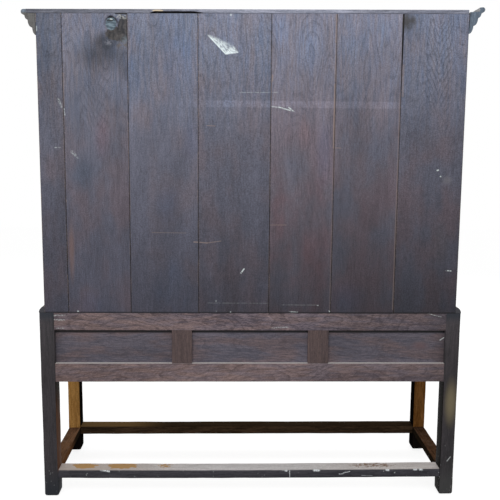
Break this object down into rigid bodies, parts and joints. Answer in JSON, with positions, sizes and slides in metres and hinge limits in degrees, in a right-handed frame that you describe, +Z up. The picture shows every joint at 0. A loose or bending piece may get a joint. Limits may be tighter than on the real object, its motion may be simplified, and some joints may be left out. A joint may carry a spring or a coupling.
{
  "type": "larder cabinet",
  "caption": "Free-standing oak larder cabinet: a boarded cupboard with pintle-hung ventilated doors under a moulded cornice, on a panelled stand with drawers and floor stretchers.",
  "frame": {"origin": "on the floor, under the middle of the whole box", "axes": "+Z up, -Y towards the front with its doors and drawers, +Y the boarded back that the picture shows, +X to the right as seen from the front"},
  "size_m": [1.6676, 0.5438, 1.8506],
  "materials": {
    "slate_oak": "aged unpolished oak gone grey, dry and matt",
    "charcoal_oak": "nearly black stained oak, worn at the arrises",
    "brown_oak": "grey-brown aged oak, matt",
    "red_brown_oak": "dark red-brown oak, matt",
    "polished_oak": "waxed dark oak, soft sheen",
    "moulded_oak": "dark oak moulding with grey end grain",
    "worn_oak": "foot-worn oak, pale on top and dark on the sides",
    "raw_oak": "unfinished inside oak, dry"
  },
  "bodies": {
    "carcass": {"leg_front_left": "charcoal_oak", "leg_front_right": "charcoal_oak", "leg_back_left": "charcoal_oak", "leg_back_right": "charcoal_oak", "back_top_rail": "brown_oak", "back_bottom_rail": "brown_oak", "back_muntin_left": "red_brown_oak", "back_muntin_right": "red_brown_oak", "back_panel_left": "slate_oak", "back_panel_centre": "slate_oak", "back_panel_right": "slate_oak", "side_apron_left": "polished_oak", "side_apron_right": "polished_oak", "front_top_rail": "polished_oak", "front_bottom_rail": "polished_oak", "drawer_divider_left": "polished_oak", "drawer_divider_right": "polished_oak", "stretcher_front": "worn_oak", "stretcher_back": "worn_oak", "stretcher_left": "worn_oak", "stretcher_right": "worn_oak", "waist_moulding": "moulded_oak", "back_board_1": "slate_oak", "back_board_2": "slate_oak", "back_board_3": "slate_oak", "back_board_4": "slate_oak", "back_board_5": "slate_oak", "back_board_6": "slate_oak", "back_board_7": "slate_oak", "side_board_left": "polished_oak", "side_board_right": "polished_oak", "top_board": "slate_oak", "bottom_board": "raw_oak", "shelf": "raw_oak", "cornice": "moulded_oak", "outer_stile_left": "polished_oak", "outer_stile_right": "polished_oak", "frieze_rail": "polished_oak", "inner_stile_left": "polished_oak", "inner_stile_right": "polished_oak", "centre_gallery": "polished_oak", "centre_panel": "polished_oak"},
    "door_left": {"door_left_hinge_stile": "polished_oak", "door_left_lock_stile": "polished_oak", "door_left_gallery": "polished_oak", "door_left_bottom_rail": "polished_oak", "door_left_panel": "polished_oak"},
    "door_right": {"door_right_hinge_stile": "polished_oak", "door_right_lock_stile": "polished_oak", "door_right_gallery": "polished_oak", "door_right_bottom_rail": "polished_oak", "door_right_panel": "polished_oak"},
    "latch_left": {"door_left_latch": "polished_oak"},
    "latch_right": {"door_right_latch": "polished_oak"},
    "drawer_left": {"drawer_left_front": "polished_oak", "drawer_left_box": "raw_oak"},
    "drawer_centre": {"drawer_centre_front": "polished_oak", "drawer_centre_box": "raw_oak"},
    "drawer_right": {"drawer_right_front": "polished_oak", "drawer_right_box": "raw_oak"}
  },
  "joints": [
    {"name": "door_left_hinge", "type": "hinge", "parent": "carcass", "child": "door_left", "pos_m": [-0.7065, -0.2066, 1.25], "axis": [0, 0, -1], "range_deg": [0, 95]},
    {"name": "door_right_hinge", "type": "hinge", "parent": "carcass", "child": "door_right", "pos_m": [0.7065, -0.2066, 1.25], "axis": [0, 0, 1], "range_deg": [0, 95]},
    {"name": "latch_left_turn", "type": "hinge", "parent": "door_left", "child": "latch_left", "pos_m": [-0.31017, -0.2066, 1.4173], "axis": [0, -1, 0], "range_deg": [0, 90]},
    {"name": "latch_right_turn", "type": "hinge", "parent": "door_right", "child": "latch_right", "pos_m": [0.31017, -0.2066, 1.4173], "axis": [0, 1, 0], "range_deg": [0, 90]},
    {"name": "drawer_left_slide", "type": "slide", "parent": "carcass", "child": "drawer_left", "axis": [0, -1, 0], "range_m": [0, 0.3]},
    {"name": "drawer_centre_slide", "type": "slide", "parent": "carcass", "child": "drawer_centre", "axis": [0, -1, 0], "range_m": [0, 0.3]},
    {"name": "drawer_right_slide", "type": "slide", "parent": "carcass", "child": "drawer_right", "axis": [0, -1, 0], "range_m": [0, 0.3]}
  ]
}
